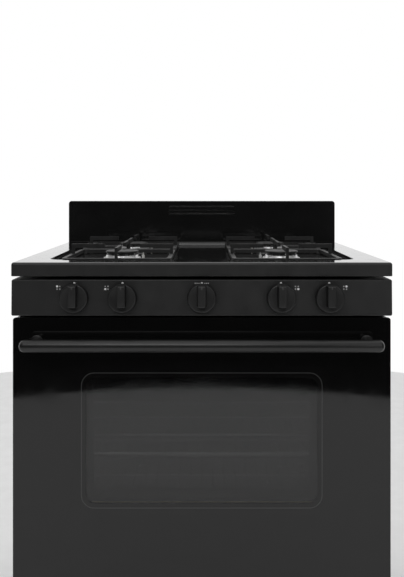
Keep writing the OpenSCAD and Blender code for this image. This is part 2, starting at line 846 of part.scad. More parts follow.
// Mineral wool around the window
module door_insulation() {
    color([0.86, 0.80, 0.62])
    along_y(door_front_y + glass_t + 2.2, door_back_y - 16) difference() {
        translate([0, (wool_z0 + wool_z1) / 2])
            rounded_rect(2 * door_wool_half_w, wool_z1 - wool_z0, 8);
        translate([0, window_z]) rounded_rect(window_w + 36, window_h + 36, 8);
    }
}

// Inner window pane
module door_inner_glass() {
    color([0.10, 0.11, 0.12, 0.6])
    along_y(door_back_y - 6.2, door_back_y - 2.1) translate([0, window_z])
        rounded_rect(window_w + 30, window_h + 30, 6);
}

// Enamelled inner panel with the window opening
module door_liner() {
    mid = (door_bottom_z + door_top_z) / 2;
    w = door_w - 9;
    h = door_top_z - door_bottom_z - 8;
    color([0.12, 0.12, 0.13])
    difference() {
        union() {
            ring_y(w, h, mid, sheet, door_back_y - 15, door_back_y, 5);
            along_y(door_back_y - 2, door_back_y) translate([0, mid]) rounded_rect(w, h, 5);
        }
        along_y(door_back_y - 4, door_back_y + 1) translate([0, window_z])
            rounded_rect(window_w, window_h, 10);
        hinge_slots(door_back_y - 16, door_back_y + 1);
    }
}

// Handle bar on two stand-offs
module door_handle() {
    r = handle_d / 2;
    y = door_front_y - handle_reach + r;
    color([0.05, 0.05, 0.05]) {
        rod([-352, y, handle_z], [352, y, handle_z], r);
        for (x = [-328, 328]) rod_y(x, handle_z, y, door_front_y - 0.05, 9);
    }
}

// Hinge cheeks and pins fixed inside the door
module door_hinges() {
    color([0.66, 0.67, 0.68])
    pair_x() {
        for (x = [hinge_x - 7, hinge_x + 5])
            span([x, hinge_y - 8, door_bottom_z + 6], [x + 2, hinge_y + 9, hinge_arm_z1]);
        rod([hinge_x - 9, hinge_y, hinge_z], [hinge_x + 9, hinge_y, hinge_z], hinge_pin_r);
        span([hinge_x - 7, hinge_y - 8, hinge_arm_z1 - 10],
             [hinge_x + 7, hinge_y + 9, hinge_arm_z1]);
    }
}

// ---------- Drawer ----------

// Drawer front: a folded panel as thick as the door
module drawer_front() {
    color([0.06, 0.06, 0.06])
    difference() {
        along_y(door_front_y, door_back_y) translate([0, (drawer_bottom_z + drawer_top_z) / 2])
            rounded_rect(door_w, drawer_top_z - drawer_bottom_z, 5);
        along_y(door_front_y + sheet, door_back_y + 1) translate([0, (drawer_bottom_z + drawer_top_z) / 2])
            rounded_rect(door_w - 2 * sheet, drawer_top_z - drawer_bottom_z - 2 * sheet, 4);
    }
}

// Open steel tray with a runner on each side
module drawer_tray() {
    y0 = door_front_y + sheet + 0.1;
    y1 = y0 + drawer_depth;
    color([0.50, 0.51, 0.52]) {
        difference() {
            span([-tray_half_w, y0, tray_z0], [tray_half_w, y1, tray_z1]);
            span([-tray_half_w + 1.2, y0 + 1.2, tray_z0 + 1.2],
                 [tray_half_w - 1.2, y1 - 1.2, tray_z1 + 1]);
        }
        pair_x() span([tray_half_w - 1, frame_y + 8, 86.3], [tray_half_w + 11, y1, 88.3]);
    }
}

// Screws that hold the rear cover
module cover_screws() {
    color([0.60, 0.61, 0.62])
    for (x = [-screw_x, screw_x], z = SCREW_Z) {
        rod_y(x, z, back_y - 8, back_y - 1.9, 2);
        rod_y(x, z, back_y - 1.95, back_y - 0.3, 4);
    }
}

side_panel(-1);  // side_panel_left
side_panel(1);  // side_panel_right
back_panel();
base_frame();
leveling_feet();
front_frame();
hinge_receivers();
drawer_rails();
cooktop();
burner_box();
backguard();
control_panel();
manifold_pipe();
burner_valves();
oven_thermostat();
gas_regulator();
gas_tubes();
burner_bases();
burner_igniters();
oven_cavity();
oven_floor();
oven_insulation();
oven_burner();
broil_burner();
oven_gasket();
flue_duct();
cover_screws();
for (i = [0 : 3]) {
    valve_plug(i);
    valve_stem(i);
    control_knob(KNOB_X[i], stem_r);
    burner_cap(i);
    grate(i);
}
oven_stem();
control_knob(0, oven_stem_r);  // oven_knob
door_frame();
door_glass();
door_insulation();
door_inner_glass();
door_liner();
door_handle();
door_hinges();
drawer_front();
drawer_tray();
oven_rack(rib_z0 + 2 * rib_pitch + rib_t);  // rack_upper
oven_rack(rib_z0 + rib_t);  // rack_lower
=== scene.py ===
"""Looks of the freestanding gas range: materials, finer shells for what shows most, and the studio.

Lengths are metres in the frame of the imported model: +Z up, the front faces -Y.
"""
import json
import math

import bmesh
import bpy
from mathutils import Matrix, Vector


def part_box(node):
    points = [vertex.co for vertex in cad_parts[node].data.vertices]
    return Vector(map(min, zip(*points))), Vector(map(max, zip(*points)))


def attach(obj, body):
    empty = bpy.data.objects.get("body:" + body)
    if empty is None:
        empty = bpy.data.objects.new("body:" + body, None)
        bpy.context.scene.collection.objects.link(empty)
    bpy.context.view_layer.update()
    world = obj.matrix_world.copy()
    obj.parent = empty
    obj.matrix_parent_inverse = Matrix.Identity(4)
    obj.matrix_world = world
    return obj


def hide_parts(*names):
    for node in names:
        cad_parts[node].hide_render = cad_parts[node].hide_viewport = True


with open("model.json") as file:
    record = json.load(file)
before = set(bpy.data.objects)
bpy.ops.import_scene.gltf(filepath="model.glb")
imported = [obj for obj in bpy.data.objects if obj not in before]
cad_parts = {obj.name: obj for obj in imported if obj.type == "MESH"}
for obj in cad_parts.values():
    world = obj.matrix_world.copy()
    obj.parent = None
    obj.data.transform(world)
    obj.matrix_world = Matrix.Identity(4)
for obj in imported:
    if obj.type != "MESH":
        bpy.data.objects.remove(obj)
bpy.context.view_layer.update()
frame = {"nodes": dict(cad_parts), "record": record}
MM = 0.001
BURNERS = ("left_rear", "left_front", "right_front", "right_rear")


def centre(node):
    """Middle of a CAD node's box."""
    low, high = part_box(node)
    return (Vector(low) + Vector(high)) / 2


# ---------------------------------------------------------------- camera
PANEL_LOW, PANEL_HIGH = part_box("control_panel")
TOP_LOW, TOP_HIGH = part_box("cooktop")
CAMERA_DISTANCE = 1.33
CAMERA_RISE = 0.136


def make_camera():
    """Untilted camera a little above the cooktop; the lens shift brings the front into view."""
    data = bpy.data.cameras.new("camera")
    data.lens = 41.84
    data.shift_x = 0.0004
    data.sensor_width = 36.0
    data.shift_y = -0.1638
    data.clip_start = 0.05
    data.clip_end = 50.0
    camera = bpy.data.objects.new("camera", data)
    camera.location = (0.0, PANEL_LOW[1] - CAMERA_DISTANCE, TOP_HIGH[2] + CAMERA_RISE)
    camera.rotation_euler = (math.radians(90.0), 0.0, 0.0)
    bpy.context.collection.objects.link(camera)
    bpy.context.scene.camera = camera


make_camera()


# ---------------------------------------------------------------- node helpers
def node(tree, kind, **values):
    """Adds a shader node; values set its inputs by name or its own settings."""
    made = tree.nodes.new(kind)
    for key, value in values.items():
        if key in made.inputs:
            made.inputs[key].default_value = value
        else:
            setattr(made, key, value)
    return made


def noise(tree, scale, detail=4.0, roughness=0.55, stretch=(1, 1, 1)):
    """Noise value in object space, stretched along the axes."""
    place = node(tree, "ShaderNodeTexCoord")
    mapping = node(tree, "ShaderNodeMapping")
    mapping.inputs["Scale"].default_value = stretch
    texture = node(tree, "ShaderNodeTexNoise", Scale=scale, Detail=detail, Roughness=roughness)
    tree.links.new(place.outputs["Object"], mapping.inputs["Vector"])
    tree.links.new(mapping.outputs["Vector"], texture.inputs["Vector"])
    return texture.outputs["Fac"]


def remap(tree, value, low, high, start=0.35, end=0.65):
    """Maps a 0..1 value to low..high."""
    made = node(tree, "ShaderNodeMapRange")
    made.inputs["From Min"].default_value = start
    made.inputs["From Max"].default_value = end
    made.inputs["To Min"].default_value = low
    made.inputs["To Max"].default_value = high
    tree.links.new(value, made.inputs["Value"])
    return made.outputs["Result"]


def blend_colour(tree, factor, first, second):
    """Mixes two colours by a factor."""
    made = tree.nodes.new("ShaderNodeMix")
    made.data_type = "RGBA"
    for socket, colour in ((made.inputs[6], first), (made.inputs[7], second)):
        if isinstance(colour, tuple):
            socket.default_value = (*colour, 1.0)
        else:
            tree.links.new(colour, socket)
    tree.links.new(factor, made.inputs[0])
    return made.outputs[2]


def add_bump(tree, shader, layers):
    """Chains bump layers: each is (height, strength, distance in metres)."""
    normal = None
    for height, strength, distance in layers:
        bump = node(tree, "ShaderNodeBump", Strength=strength, Distance=distance)
        tree.links.new(height, bump.inputs["Height"])
        if normal is not None:
            tree.links.new(normal, bump.inputs["Normal"])
        normal = bump.outputs["Normal"]
    tree.links.new(normal, shader.inputs["Normal"])


def grey(value):
    """Neutral colour."""
    return (value, value, value)


def surface(name, dark, light, rough, metal=0.0, grain=900.0, grain_depth=0.02, wave=14.0,
            wave_depth=0.0, stretch=(1, 1, 1), spots=None, **shader_values):
    """A painted, moulded, cast or metal surface.

    dark and light are its two tones, rough its (low, high) roughness. grain is the frequency of
    the fine texture and grain_depth its depth in millimetres; wave is a slow unevenness.
    spots adds flecks: (colour, scale, share).
    """
    made = bpy.data.materials.new(name)
    made.use_nodes = True
    tree = made.node_tree
    shader = tree.nodes["Principled BSDF"]
    shader.inputs["Metallic"].default_value = metal
    for key, value in shader_values.items():
        shader.inputs[key.replace("_", " ")].default_value = value
    broad = noise(tree, wave, 3.0, stretch=stretch)
    fine = noise(tree, grain, 2.0, stretch=stretch)
    smudge = noise(tree, wave * 3.1, 5.0, 0.62)
    colour = blend_colour(tree, remap(tree, broad, 0.0, 1.0), dark, light)
    if spots:
        fleck = noise(tree, spots[1], 1.0)
        edge = remap(tree, fleck, 0.0, 1.0, 1.0 - spots[2], 1.02 - spots[2])
        colour = blend_colour(tree, edge, colour, spots[0])
    tree.links.new(colour, shader.inputs["Base Color"])
    tree.links.new(remap(tree, smudge, *rough), shader.inputs["Roughness"])
    layers = [(fine, 0.6, grain_depth * MM)]
    if wave_depth:
        layers.append((broad, 0.5, wave_depth * MM))
    add_bump(tree, shader, layers)
    return made


# ---------------------------------------------------------------- materials
MATERIALS = {
    "body_paint": surface("body_paint", grey(0.012), grey(0.016), (0.26, 0.36), grain=420,
                          grain_depth=0.03, wave_depth=0.05),
    "panel_paint": surface("panel_paint", grey(0.017), grey(0.021), (0.40, 0.50), grain=1500,
                           grain_depth=0.012, wave_depth=0.02),
    "cooktop_enamel": surface("cooktop_enamel", grey(0.010), grey(0.013), (0.07, 0.14), grain=260,
                              grain_depth=0.008, wave_depth=0.02, Coat_Weight=0.5,
                              Coat_Roughness=0.05),
    "lip_enamel": surface("lip_enamel", grey(0.018), grey(0.022), (0.40, 0.50), grain=700,
                          grain_depth=0.01, wave_depth=0.02),
    "grate_enamel": surface("grate_enamel", grey(0.010), grey(0.022), (0.42, 0.62), grain=650,
                            grain_depth=0.12, wave=40, wave_depth=0.15),
    "cap_enamel": surface("cap_enamel", grey(0.010), grey(0.018), (0.34, 0.48), grain=800,
                          grain_depth=0.05, wave=30, wave_depth=0.04),
    "burner_aluminium": surface("burner_aluminium", grey(0.62), grey(0.80), (0.26, 0.42), 1.0,
                                grain=1100, grain_depth=0.05, wave=60, wave_depth=0.05),
    "tube_aluminium": surface("tube_aluminium", grey(0.55), grey(0.70), (0.24, 0.36), 1.0,
                              grain=700, grain_depth=0.02),
    "cast_alloy": surface("cast_alloy", grey(0.30), grey(0.42), (0.40, 0.55), 1.0, grain=600,
                          grain_depth=0.10),
    "knob_plastic": surface("knob_plastic", grey(0.018), grey(0.024), (0.33, 0.42), grain=1800,
                            grain_depth=0.018),
    # Painted shade for the knobs' side walls: the same plastic as knob_plastic, only darker.
    "knob_side_painted_shade": surface("knob_side_painted_shade", grey(0.004), grey(0.006), (0.45, 0.55), grain=1800,
                          grain_depth=0.018),
    "pointer_grey": surface("pointer_grey", grey(0.07), grey(0.09), (0.45, 0.55), grain=2000,
                            grain_depth=0.01),
    "foot_plastic": surface("foot_plastic", grey(0.02), grey(0.03), (0.45, 0.6), grain=900,
                            grain_depth=0.05),
    "galvanised_steel": surface("galvanised_steel", grey(0.36), grey(0.52), (0.30, 0.46), 1.0,
                                grain=500, grain_depth=0.02, wave=70,
                                spots=(grey(0.50), 180, 0.36)),
    "plated_steel": surface("plated_steel", grey(0.42), grey(0.56), (0.22, 0.36), 1.0, grain=800,
                            grain_depth=0.02, stretch=(1, 6, 1)),
    "valve_brass": surface("valve_brass", (0.48, 0.30, 0.09), (0.62, 0.42, 0.15), (0.22, 0.36),
                           1.0, grain=900, grain_depth=0.03),
    "ceramic": surface("ceramic", grey(0.70), (0.82, 0.80, 0.74), (0.12, 0.22), grain=400,
                       grain_depth=0.01),
    "oven_enamel": surface("oven_enamel", (0.012, 0.014, 0.020), (0.018, 0.020, 0.028),
                           (0.16, 0.28), grain=500, grain_depth=0.02, wave_depth=0.05,
                           spots=(grey(0.34), 700, 0.33)),
    "mineral_wool": surface("mineral_wool", (0.50, 0.42, 0.22), (0.72, 0.64, 0.40), (0.85, 0.95),
                            grain=420, grain_depth=1.5, wave=30, wave_depth=3.0,
                            stretch=(1, 1, 5)),
    "handle_paint": surface("handle_paint", grey(0.012), grey(0.016), (0.28, 0.36), grain=900,
                            grain_depth=0.015),
    "rack_chrome": surface("rack_chrome", grey(0.62), grey(0.74), (0.10, 0.18), 1.0, grain=300,
                           grain_depth=0.01),
    "mark_white": surface("mark_white", grey(0.86), grey(0.92), (0.45, 0.55), grain=2000,
                          grain_depth=0.01),
    "mark_grey": surface("mark_grey", grey(0.40), grey(0.46), (0.45, 0.55), grain=2000,
                         grain_depth=0.01),
}


def make_braid():
    """Braided glass-fibre seal."""
    made = surface("gasket_braid", grey(0.05), grey(0.11), (0.8, 0.9), grain=700, grain_depth=0.3)
    tree = made.node_tree
    shader = tree.nodes["Principled BSDF"]
    place = node(tree, "ShaderNodeTexCoord")
    waves = []
    for turn in (0.7, -0.7):
        mapping = node(tree, "ShaderNodeMapping")
        mapping.inputs["Rotation"].default_value = (0.3, turn, 0.2)
        tree.links.new(place.outputs["Object"], mapping.inputs["Vector"])
        wave = node(tree, "ShaderNodeTexWave", Scale=160.0, Distortion=0.6)
        tree.links.new(mapping.outputs["Vector"], wave.inputs["Vector"])
        waves.append(wave.outputs["Fac"])
    add_bump(tree, shader, [(value, 0.8, 0.6 * MM) for value in waves])
    return made


def make_glass(name, tint, rough, transmission):
    """Polished glass with faint smears."""
    made = surface(name, tint, tuple(1.2 * c for c in tint), rough, grain=90, grain_depth=0.002,
                   wave=8)
    shader = made.node_tree.nodes["Principled BSDF"]
    shader.inputs["IOR"].default_value = 1.5
    shader.inputs["Transmission Weight"].default_value = transmission
    return made


MATERIALS["gasket_braid"] = make_braid()
MATERIALS["black_glass"] = make_glass("black_glass", grey(0.004), (0.04, 0.08), 0.0)
MATERIALS["window_glass"] = make_glass("window_glass", grey(0.75), (0.02, 0.06), 1.0)

SLOT_OF = {row["node"]: row["material_slot"] for row in frame["record"]["subparts"]}


def soften(piece, width, segments=2, angle=35.0):
    """Welds a piece's seams and rounds its sharp edges."""
    weld = piece.modifiers.new("weld", "WELD")
    weld.merge_threshold = 0.00002
    bevel = piece.modifiers.new("bevel", "BEVEL")
    bevel.width = width
    bevel.segments = segments
    bevel.limit_method = "ANGLE"
    bevel.angle_limit = math.radians(angle)
    bevel.harden_normals = True
    bevel.use_clamp_overlap = True


def finish_cad_nodes():
    """Gives every CAD node its material."""
    for name, piece in frame["nodes"].items():
        material = MATERIALS[SLOT_OF[name]]
        for holder in piece.material_slots:
            holder.material = material


finish_cad_nodes()


# ---------------------------------------------------------------- mesh helpers
def add_piece(name, mesh, material, body, smooth=40.0):
    """Turns mesh data into a piece that rides on a body."""
    bm = bmesh.new()
    bm.from_mesh(mesh)
    bmesh.ops.remove_doubles(bm, verts=bm.verts, dist=1e-6)
    bmesh.ops.recalc_face_normals(bm, faces=bm.faces)
    for face in bm.faces:
        face.smooth = True
    for edge in bm.edges:
        if len(edge.link_faces) == 2 and edge.calc_face_angle() > math.radians(smooth):
            edge.smooth = False
    bm.to_mesh(mesh)
    bm.free()
    mesh.materials.clear()
    for made in material if isinstance(material, list) else [material]:
        mesh.materials.append(MATERIALS[made])
    piece = bpy.data.objects.new(name, mesh)
    bpy.context.collection.objects.link(piece)
    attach(piece, body)
    return piece


def even_normals(piece):
    """Lets the large flat faces rule the shading of the fillets beside them."""
    weighted = piece.modifiers.new("normals", "WEIGHTED_NORMAL")
    weighted.keep_sharp = True
    weighted.weight = 100


def mesh_of(name, points, faces):
    """Mesh data from points and faces."""
    mesh = bpy.data.meshes.new(name)
    mesh.from_pydata([tuple(p) for p in points], [], faces)
    return mesh


def rounded_loop(half_w, half_h, radius, steps=6):
    """Closed outline with round corners, as (x, y) pairs, starting at the upper right."""
    outline = []
    for quarter, (sx, sy) in enumerate(((1, 1), (-1, 1), (-1, -1), (1, -1))):
        for i in range(steps + 1):
            turn = math.pi / 2 * (quarter + i / steps)
            outline.append((sx * (half_w - radius) + radius * math.cos(turn),
                            sy * (half_h - radius) + radius * math.sin(turn)))
    return outline


def stitch(rings):
    """Faces between successive rings of the same length."""
    count = len(rings[0])
    faces = []
    for level in range(len(rings) - 1):
        for i in range(count):
            j = (i + 1) % count
            faces.append((level * count + i, level * count + j,
                          (level + 1) * count + j, (level + 1) * count + i))
    return faces


def fillet(start, end, steps=5):
    """Quarter-round between two (inset, height) points: leaves start along its height."""
    made = []
    for i in range(1, steps + 1):
        turn = math.pi / 2 * i / steps
        made.append((start[0] + (end[0] - start[0]) * (1 - math.cos(turn)),
                     start[1] + (end[1] - start[1]) * math.sin(turn)))
    return made


def fillet_in(start, end, steps=5):
    """Quarter-round between two (inset, height) points: leaves start along its inset."""
    made = []
    for i in range(1, steps + 1):
        turn = math.pi / 2 * i / steps
        made.append((start[0] + (end[0] - start[0]) * math.sin(turn),
                     start[1] + (end[1] - start[1]) * (1 - math.cos(turn))))
    return made


def lathe(profile, at, axis="z", steps=64):
    """Points and faces of a profile of (radius, height) pairs turned round an axis through at.

    The axis "z" points up and "y" points to the front, so height grows towards -Y.
    """
    points = []
    for radius, height in profile:
        for i in range(steps):
            turn = 2 * math.pi * i / steps
            a, b = radius * math.cos(turn), radius * math.sin(turn)
            if axis == "z":
                points.append((at[0] + a, at[1] + b, at[2] + height))
            else:
                points.append((at[0] + a, at[1] - height, at[2] + b))
    faces = stitch([points[k * steps:(k + 1) * steps] for k in range(len(profile))])
    faces.append(tuple(range(steps)))
    faces.append(tuple(range((len(profile) - 1) * steps, len(profile) * steps)))
    return points, faces


def merge(parts):
    """Joins several (points, faces) into one."""
    points, faces = [], []
    for some_points, some_faces in parts:
        base = len(points)
        points += list(some_points)
        faces += [tuple(base + i for i in face) for face in some_faces]
    return points, faces


def fill_with_holes(points, outer, holes):
    """Triangles of a flat face bounded by the outer loop of indices, with the hole loops cut out."""
    bm = bmesh.new()
    vertices = {i: bm.verts.new(points[i]) for loop in [outer] + holes for i in loop}
    edges = []
    for loop in [outer] + holes:
        for k, i in enumerate(loop):
            edges.append(bm.edges.new((vertices[i], vertices[loop[(k + 1) % len(loop)]])))
    back = {v: i for i, v in vertices.items()}
    made = bmesh.ops.triangle_fill(bm, use_beauty=True, use_dissolve=False, edges=edges)
    faces = [tuple(back[v] for v in f.verts) for f in made["geom"]
             if isinstance(f, bmesh.types.BMFace)]
    bm.free()
    return faces


def circle(at, radius, z, steps=48):
    """Circle of points at height z."""
    return [(at[0] + radius * math.cos(2 * math.pi * i / steps),
             at[1] + radius * math.sin(2 * math.pi * i / steps), z) for i in range(steps)]


# ---------------------------------------------------------------- cooktop
WELL_DEPTH = 0.0086
WELL_HALF_W = 0.317
WELL_FRONT = 0.062
WELL_REAR = 0.019
WELL_CORNER = 0.024
PLAN_CORNER = 0.006
SPARK_OFFSET = 0.047
PAN_SHEET = 0.0012
CORNER_MARGIN = 0.0006
FRONT_MARGIN = 0.006
ROLL_DROP = 0.0055
ROLL_REACH = 0.0050
SHEET = 0.002
BURNER_DISH = ((0.046, 0.0), (0.044, 0.0012), (0.031, 0.0012), (0.030, 0.0042))
SPARK_HOLE = ((0.0058, 0.0), (0.0052, 0.0006), (0.0050, 0.0030))


def cooktop_shell():
    """Pressed pan: flared skirt, rolled lip, rim, sunken well and dished burner openings."""
    half_w = TOP_HIGH[0]
    half_d = (TOP_HIGH[1] - TOP_LOW[1]) / 2
    mid_y = (TOP_HIGH[1] + TOP_LOW[1]) / 2
    top, bottom = TOP_HIGH[2], TOP_LOW[2]
    well_y0, well_y1 = PANEL_LOW[1] + WELL_FRONT, TOP_HIGH[1] - WELL_REAR
    floor = top - WELL_DEPTH
    skirt = [(SHEET, bottom), (0.0006, bottom), (0.0, bottom + 0.0006),
             (0.0, top - ROLL_DROP - 0.001), (0.0, top - ROLL_DROP)]
    skirt += fillet((0.0, top - ROLL_DROP), (ROLL_REACH, top), 8)
    rings = []
    for inset, z in skirt:
        outline = rounded_loop(half_w - inset, half_d - inset, max(PLAN_CORNER - inset, 0.002))
        rings.append([(x, y + mid_y, z) for x, y in outline])
    well = [(-0.004, top)] + fillet_in((-0.004, top), (0.0, top - 0.003))
    well += [(0.001, floor + 0.004)] + fillet((0.001, floor + 0.004), (0.005, floor))
    well_mid_y, well_half_d = (well_y0 + well_y1) / 2, (well_y1 - well_y0) / 2
    for inset, z in well:
        outline = rounded_loop(WELL_HALF_W - inset, well_half_d - inset, WELL_CORNER - inset)
        rings.append([(x, y + well_mid_y, z) for x, y in outline])
    points = [p for ring in rings for p in ring]
    faces = stitch(rings)
    count = len(rings[0])
    outer = list(range(len(points) - count, len(points)))
    holes = []
    for name in BURNERS:
        burner = centre("burner_cap_" + name)
        spark_x = burner.x - math.copysign(SPARK_OFFSET, burner.x)
        for at, profile in (((burner.x, burner.y), BURNER_DISH), ((spark_x, burner.y), SPARK_HOLE)):
            first = len(points)
            hole_rings = [circle(at, radius, floor - drop) for radius, drop in profile]
            points += [p for ring in hole_rings for p in ring]
            faces += [tuple(first + i for i in f) for f in stitch(hole_rings)]
            holes.append(list(range(first, first + len(hole_rings[0]))))
    faces += fill_with_holes(points, outer, holes)
    piece = add_piece("cooktop_shell", mesh_of("cooktop_shell", points, faces),
                      ["cooktop_enamel", "lip_enamel"], "root", smooth=50)
    for face in piece.data.polygons:
        outer_side = (abs(face.center.x) > half_w - FRONT_MARGIN
                      or face.center.y < TOP_LOW[1] + FRONT_MARGIN)
        if outer_side and face.center.z < top - CORNER_MARGIN and abs(face.normal.z) < 0.75:
            face.material_index = 1
    thick = piece.modifiers.new("thickness", "SOLIDIFY")
    thick.thickness = PAN_SHEET
    thick.offset = -1.0
    even_normals(piece)
    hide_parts("cooktop")


cooktop_shell()


# ---------------------------------------------------------------- control panel
PANEL_TILT = 0.002
PANEL_CORNER = 0.0035
PANEL_FILLET = (0.0022, 0.003)
PANEL_SHEET = 0.0015
SHAFT_HOLE = ((0.0075, 0.0), (0.0065, 0.001), (0.0060, 0.003))
HOLE_STEPS = 32
KNOB_NODES = {"left_rear": "burner_knob_left_rear", "left_front": "burner_knob_left_front",
              "oven": "oven_knob", "right_front": "burner_knob_right_front",
              "right_rear": "burner_knob_right_rear"}


def panel_face_y(z):
    """Depth of the panel's face at a height: its top leans back a little."""
    share = (z - PANEL_LOW[2]) / (PANEL_HIGH[2] - PANEL_LOW[2])
    return PANEL_LOW[1] + PANEL_TILT * share


def control_panel_shell():
    """Folded panel with soft edges and a drawn collar round each shaft hole."""
    half_w = PANEL_HIGH[0]
    half_h = (PANEL_HIGH[2] - PANEL_LOW[2]) / 2
    mid_z = (PANEL_HIGH[2] + PANEL_LOW[2]) / 2
    back = PANEL_HIGH[1]
    rings = []
    fillet_y = PANEL_LOW[1] + PANEL_FILLET[1]
    levels = [(0.0012, back, 0), (0.0, back, 0), (0.0, fillet_y, 1)]
    levels += [(i, fillet_y - d, 1) for i, d in fillet((0.0, 0.0), PANEL_FILLET)]
    levels.append((0.0040, PANEL_LOW[1], 1))
    for inset, y, leaning in levels:
        outline = rounded_loop(half_w - inset, half_h - inset, max(PANEL_CORNER - inset, 0.0012))
        ring = []
        for x, z in outline:
            lean = PANEL_TILT * (z + half_h) / (2 * half_h) * leaning
            ring.append((x, y + lean, mid_z + z))
        rings.append(ring)
    points = [p for ring in rings for p in ring]
    faces = stitch(rings)
    count = len(rings[0])
    outer = list(range(len(points) - count, len(points)))
    holes = []
    for node_name in KNOB_NODES.values():
        x = centre(node_name).x
        first = len(points)
        z = (PANEL_LOW[2] + PANEL_HIGH[2]) / 2
        hole_rings = []
        for radius, sink in SHAFT_HOLE:
            turns = [2 * math.pi * i / HOLE_STEPS for i in range(HOLE_STEPS)]
            around = [(x + radius * math.cos(turn), z + radius * math.sin(turn)) for turn in turns]
            hole_rings.append([(px, panel_face_y(pz) + sink, pz) for px, pz in around])
        points += [p for ring in hole_rings for p in ring]
        faces += [tuple(first + i for i in f) for f in stitch(hole_rings)]
        holes.append(list(range(first, first + HOLE_STEPS)))
    faces += fill_with_holes(points, outer, holes)
    piece = add_piece("control_panel_shell", mesh_of("control_panel_shell", points, faces),
                      "panel_paint", "root", smooth=50)
    thick = piece.modifiers.new("thickness", "SOLIDIFY")
    thick.thickness = PANEL_SHEET
    thick.offset = -1.0
    even_normals(piece)
    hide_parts("control_panel")


control_panel_shell()


DOT_DROP = 0.0412
ICON_DROP = 0.0502
ICON_OFFSET = 0.0315
ICON_STEP = 0.0027
DOT_R = 0.0023
ICON_BRIGHT_R = 0.0022
ICON_DIM_R = 0.0015
INK = 0.00012
INK_ROOT = 0.0002
DASH_STEPS = (0.0055, 0.0092, 0.0129)


def panel_marks():
    """Printed dots and dashes: an off mark over each knob and a burner plan beside each one."""
    parts, light = [], []

    def dot(x, z, radius, bright):
        y = panel_face_y(z)
        ring = [(x + radius * math.cos(2 * math.pi * i / 20), y - INK,
                 z + radius * math.sin(2 * math.pi * i / 20)) for i in range(20)]
        root_ring = [(px, y + INK_ROOT, pz) for px, _, pz in ring]
        parts.append((root_ring + ring, stitch([root_ring, ring]) + [tuple(range(20, 40))]))
        light.append(bright)

    def dash(x, z, half_w, half_h):
        y = panel_face_y(z)
        outline = rounded_loop(half_w, half_h, half_h * 0.8, 3)
        ring = [(x + a, y - INK, z + b) for a, b in outline]
        root_ring = [(px, y + INK_ROOT, pz) for px, _, pz in ring]
        parts.append((root_ring + ring, stitch([root_ring, ring])
                      + [tuple(range(len(ring), 2 * len(ring)))]))
        light.append(False)

    dot_z = TOP_HIGH[2] - DOT_DROP
    for key, node_name in KNOB_NODES.items():
        x = centre(node_name).x
        dot(x, dot_z, DOT_R, True)
        if key == "oven":
            for side in (-1, 1):
                for step in DASH_STEPS:
                    dash(x + side * step, dot_z - 0.0002, 0.0015, 0.0011)
            continue
        icon_x = x + math.copysign(ICON_OFFSET, x)
        icon_z = TOP_HIGH[2] - ICON_DROP
        for column, side in ((-1, "left"), (1, "right")):
            for row, end in ((1, "rear"), (-1, "front")):
                own = key == side + "_" + end
                dot(icon_x + column * ICON_STEP, icon_z + row * ICON_STEP,
                    ICON_BRIGHT_R if own else ICON_DIM_R, own)
    points, faces = merge(parts)
    piece = add_piece("panel_marks", mesh_of("panel_marks", points, faces),
                      ["mark_grey", "mark_white"], "root")
    centres = [sum((Vector(p) for p in part[0]), Vector()) / len(part[0]) for part in parts]
    for face in piece.data.polygons:
        nearest = min(range(len(centres)), key=lambda k: (centres[k] - face.center).length)
        face.material_index = 1 if light[nearest] else 0


panel_marks()


# ---------------------------------------------------------------- knobs
# Faces turned further than this from the front take the painted-shade plastic.
SHADED_SIDE_TILT = 0.35


